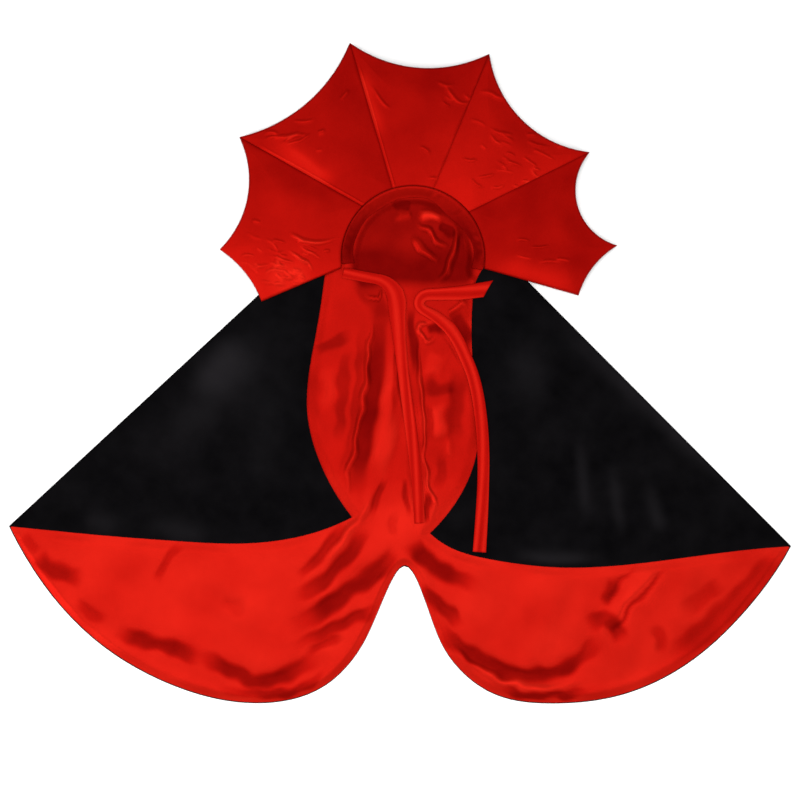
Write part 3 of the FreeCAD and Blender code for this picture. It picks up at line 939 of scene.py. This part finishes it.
for gore in ("left_wing", "left_mid", "centre", "right_mid", "right_wing"):
    top, bottom, left, right = gore_sides("collar_outer_" + gore)
    flat = patch(top, bottom, left, right, GORE_ROWS, GORE_COLUMNS)
    x, y = flat[..., 0], flat[..., 1]
    rim = np.vstack([resample(top, 90), resample(right, 30)[1:], resample(bottom[::-1], 30)[1:],
                     resample(left[::-1], 30)[1:]])
    rim_gap = distance(rim, x, y)
    open_rims = [top]
    seams = [left, right]
    if gore == "left_wing":
        open_rims.append(seams.pop(0))
    if gore == "right_wing":
        open_rims.append(seams.pop())
    open_gap = np.min([distance(resample(line, 90), x, y) for line in open_rims], axis=0)
    seam_gap = np.min([distance(resample(line, 9), x, y) for line in seams], axis=0)
    neck_gap = distance(resample(bottom, 60), x, y)
    u = np.linspace(0, 1, GORE_COLUMNS)[None]
    v = np.linspace(1, 0, GORE_ROWS)[:, None]
    # Each facet is painted from corner to corner with the shade and light that its tilt would
    # give.
    a, b, c, d = GORE_PAINTED_LIGHT[gore]
    tone_and_painted_light = (1 - v) * ((1 - u) * a + u * b) + v * ((1 - u) * c + u * d)
    puff = GORE_PUFF * smooth(rim_gap / 30) + 0.15 * ripple(x, y, 40 + len(gore), 44.0)
    # Creases and wrinkles lift the facing and paint a highlight along their crests.
    for height, near, far, tone, points in CREASES[gore] + scattered(gore):
        bell = fold(x, y, points, near, far, fade=0.35)[0]
        puff += height * bell
        tone_and_painted_light = tone_and_painted_light + tone * bell
    left_gap, left_share = beside(resample(left, 20), x, y)
    left_gap = np.abs(left_gap)
    along_seam = smooth((left_share - 0.12) / 0.12)
    # A ridge beside the left seam of the middle gores, with a painted highlight along it.
    if gore in ("left_mid", "centre"):
        ridge = np.exp(-((left_gap - 2.0) / 1.2) ** 2) * along_seam
        puff += SEAM_RIDGE * ridge
        tone_and_painted_light = tone_and_painted_light + 0.3 * ridge
    tone_and_painted_light = np.clip(tone_and_painted_light + 0.03 * ripple(x, y, 60 + len(gore), 60.0), 0, 1)
    puff = puff * smooth(seam_gap / 3.5) * smooth(neck_gap / 3.5)
    rim_z = OPEN_RIM_Z + (SEAM_RIM_Z - OPEN_RIM_Z) * smooth(open_gap / 4)
    rounded = np.sqrt(1 - (1 - np.clip(open_gap / EDGE_ROUND, 0, 1)) ** 2)
    groove = 1 - np.exp(-np.minimum(seam_gap, neck_gap) ** 2)
    top_z = rim_z + (GORE_TOP + puff - rim_z) * rounded * groove
    low_z = rim_z - (rim_z - GORE_LOW) * smooth(rim_gap / 1.5)
    away = np.minimum(seam_gap, SEAM_FADE)[..., None]
    outwards = np.sign(u - 0.5)[..., None] * (right[0] - left[0]) / np.hypot(*(right[0] - left[0]))
    flat = flat + SEAM_LAP * (1 - away / SEAM_FADE) * outwards
    mesh = surface_mesh("collar_facing_" + gore, np.dstack([flat, top_z]), tone_and_painted_light)
    under = surface_mesh("under", np.dstack([flat, low_z]), tone_and_painted_light, up=False)
    join_rims(mesh, under)
    facing = cloth_object("collar_facing_" + gore + "_cloth", mesh, collar_satin)
    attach(facing, "collar_" + gore)
    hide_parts("collar_facing_" + gore, "collar_stiffener_" + gore)
    outer = flat[::2, ::2] + OUTER_INSET * (flat.mean((0, 1)) - flat[::2, ::2])
    outer = np.dstack([outer, np.full(outer.shape[:2], OUTER_Z)])
    outer_mesh = surface_mesh("collar_outer_" + gore, outer, SHELL_TONE, up=False)
    back_side = cloth_object("collar_outer_" + gore + "_cloth", outer_mesh, black_satin)
    thick = back_side.modifiers.new("cloth", "SOLIDIFY")
    thick.thickness = OUTER_THICK * MM
    thick.offset = 0
    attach(back_side, "collar_" + gore)
    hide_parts("collar_outer_" + gore)
